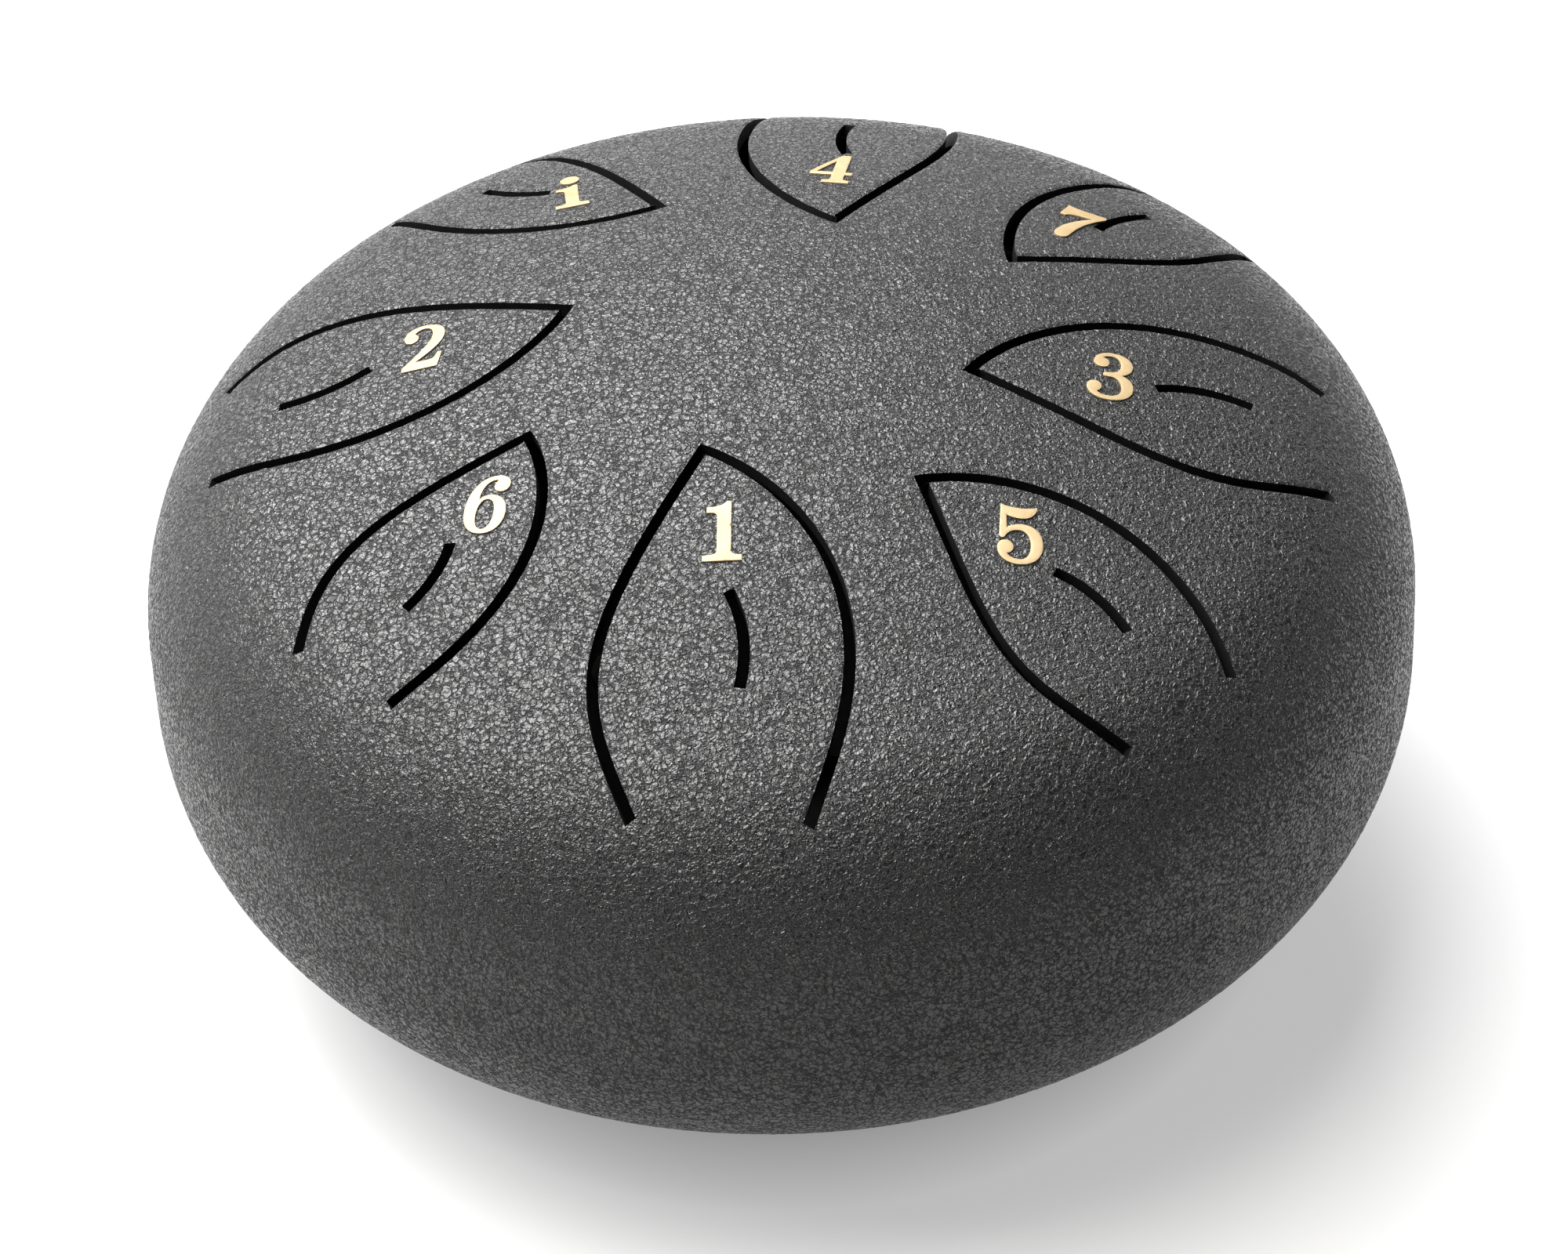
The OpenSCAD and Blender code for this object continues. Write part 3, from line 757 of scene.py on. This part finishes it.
def make_number(name):
    """A foil sticker that follows the crown, with a rounded edge."""
    loops = [glyph_outline(points) for points in GLYPHS[name]]
    if name == "high_1":
        loops.append((circle(DOT_MIDDLE, DOT_R, 1.2) - GLYPH_MIDDLE) * NUMBER_H / 100)
    outline = Outline()
    for loop in loops:
        outline.line(loop, closed=True)
    reach = NUMBER_H * 0.75
    loose = grid_points(0.3, reach)
    edge = np.array(outline.points)
    gap = np.min(np.linalg.norm(loose[:, None] - edge[None], axis=2), axis=1)
    points = [Vector(p) for p in np.vstack([edge, loose[gap > 0.12]])]
    made, _, triangles, _, _, _ = geometry.delaunay_2d_cdt(points, outline.edges, [], 0, 1e-7, True)
    flat = np.array([(p.x, p.y) for p in made])
    triangles = np.array(triangles)
    middle = flat[triangles].mean(1)
    keep = np.zeros(len(middle), bool)
    for loop in loops:
        keep ^= inside(loop, middle)
    a, b, c = (flat[triangles[:, k]] for k in range(3))
    turn = (b - a)[:, 0] * (c - a)[:, 1] - (b - a)[:, 1] * (c - a)[:, 0]
    triangles = np.where((turn > 0)[:, None], triangles, triangles[:, ::-1])[keep & (np.abs(turn) > 1e-9)]
    used, ids = np.unique(triangles, return_inverse=True)
    ids, flat = ids.reshape(-1, 3), flat[used]
    radius, bearing, up = NUMBER_PLACES[name]
    tilt = math.asin(radius / CROWN_R)
    lean = np.array([[math.cos(tilt), 0, math.sin(tilt)], [0, 1, 0], [-math.sin(tilt), 0, math.cos(tilt)]])
    frame_of = turn_z(bearing) @ lean @ turn_z(up - 90 - bearing)
    out = np.column_stack([flat, np.sqrt(CROWN_R ** 2 - (flat ** 2).sum(1))]) / CROWN_R
    out = out @ frame_of.T
    centre = np.array([0, 0, SEAM_Z + CROWN_Z])
    rim = border(ids)
    at_edge = np.zeros(len(flat), bool)
    at_edge[rim.ravel()] = True
    waves = np.array([noise.noise(Vector(p * CROWN_R / 2.2)) for p in out]) * 0.012
    top = centre + out * (CROWN_R + NUMBER_T - 0.02 + waves - 0.03 * at_edge)[:, None]
    under = centre + out * (CROWN_R - 0.03)
    n = len(flat)
    walls = [(b, a, a + n, b + n) for a, b in rim]
    faces = ids.tolist() + (ids[:, ::-1] + n).tolist() + walls
    all_points = np.vstack([top, under])
    quads = all_points[np.array(walls)]
    wall_normal = np.cross(quads[:, 2] - quads[:, 0], quads[:, 3] - quads[:, 1])
    wall_normal /= np.linalg.norm(wall_normal, axis=1)[:, None]
    top_normals = vertex_normals(top, ids)
    corners = np.vstack([top_normals[ids.ravel()], -out[ids[:, ::-1].ravel()], np.repeat(wall_normal, 4, 0)])
    add_mesh(f"foil_{name}", all_points, faces, corners, [FOIL], [0] * len(faces),
             f"note_{name}", [f"number_{name}"])


# ---- floor, lights and camera ----

# Half the floor's width, in metres, and where the camera stands, in degrees and drum radii
FLOOR_HALF = 4.0
CAMERA_BEARING, CAMERA_ELEVATION, CAMERA_ROLL = -83.4, 40.16, -2.77
CAMERA_DISTANCE = 10
MIDDLE = np.array([0, 0, SEAM_Z]) * MM


def make_stage():
    """A pale floor with a soft glow that lightens the drum's shadow.

    Right under the drum its colour and its glow fall to near black, a painted shadow, because a bright spot
    there would show through the slits and the port.
    """
    material, tree, shader = new_material("floor")
    place = node(tree, "ShaderNodeTexCoord").outputs["Object"]
    far = node(tree, "ShaderNodeVectorMath", {0: place}, operation="LENGTH").outputs["Value"]
    rim = RIM_R * MM
    # Painted shadow: the floor's colour darkens and its glow fades towards the drum's axis.
    tree.links.new(ramp(tree, far, 0.58 * rim, 0.93 * rim, 0.01, 0.28), shader.inputs["Base Color"])
    tree.links.new(ramp(tree, far, 0.35 * rim, 0.8 * rim, 0.0, 0.5), shader.inputs["Emission Strength"])
    shader.inputs["Roughness"].default_value = 0.9
    shader.inputs["Emission Color"].default_value = (1, 1, 1, 1)
    mesh = bpy.data.meshes.new("floor")
    z = cad_low.z - 0.00002
    corners = [(x * FLOOR_HALF, y * FLOOR_HALF, z) for x, y in ((-1, -1), (1, -1), (1, 1), (-1, 1))]
    mesh.from_pydata(corners, [], [(0, 1, 2, 3)])
    mesh.materials.append(material)
    floor = bpy.data.objects.new("floor", mesh)
    bpy.context.scene.collection.objects.link(floor)


def direction(bearing, elevation):
    flat = polar(math.cos(math.radians(elevation)), bearing)
    return np.array([flat[0], flat[1], math.sin(math.radians(elevation))])


def soft_light(name, bearing, elevation, distance, width, height, power, colour=(1, 1, 1)):
    light = bpy.data.lights.new(name, "AREA")
    light.shape = "RECTANGLE"
    light.size, light.size_y = width, height
    light.energy = power
    light.color = colour
    lamp = bpy.data.objects.new(name, light)
    place = MIDDLE + distance * direction(bearing, elevation)
    lamp.location = place
    lamp.rotation_euler = Vector(MIDDLE - place).to_track_quat("-Z", "Y").to_euler()
    bpy.context.scene.collection.objects.link(lamp)


def make_lights():
    """A broad key from the left, a softer light from behind and a small warm one at the front left."""
    behind = CAMERA_BEARING + 180
    soft_light("key", behind + 66, 62, 1.2, 1.5, 1.6, 78)
    soft_light("rear", behind + 14, 40, 1.3, 1.0, 0.7, 26)
    soft_light("warm", behind + 115, 66, 1.2, 0.5, 0.5, 4, (1, 0.92, 0.8))
    world = bpy.data.worlds.new("studio")
    world.use_nodes = True
    background = world.node_tree.nodes["Background"]
    background.inputs["Color"].default_value = (1, 1, 1, 1)
    background.inputs["Strength"].default_value = 0.02
    bpy.context.scene.world = world


def make_camera():
    data = bpy.data.cameras.new("camera")
    data.sensor_width = 36.0
    data.lens = 144.6
    data.shift_x, data.shift_y = 0.0014, -0.01625
    data.clip_start, data.clip_end = 0.05, 20
    camera = bpy.data.objects.new("camera", data)
    back = direction(CAMERA_BEARING, CAMERA_ELEVATION)
    right = np.cross(-back, (0, 0, 1))
    right /= np.linalg.norm(right)
    up = np.cross(right, -back)
    c, s = math.cos(math.radians(CAMERA_ROLL)), math.sin(math.radians(CAMERA_ROLL))
    right, up = c * right + s * up, c * up - s * right
    turned = np.eye(4)
    turned[:3, 0], turned[:3, 1], turned[:3, 2] = right, up, back
    turned[:3, 3] = MIDDLE + CAMERA_DISTANCE * RIM_R * MM * back
    camera.matrix_world = Matrix(turned.tolist())
    bpy.context.scene.collection.objects.link(camera)
    bpy.context.scene.camera = camera


make_top()
make_bottom()
make_feet()
make_weld()
for note in NOTES:
    make_number(note)
make_stage()
make_lights()
make_camera()
bpy.context.scene.view_settings.view_transform = "Standard"
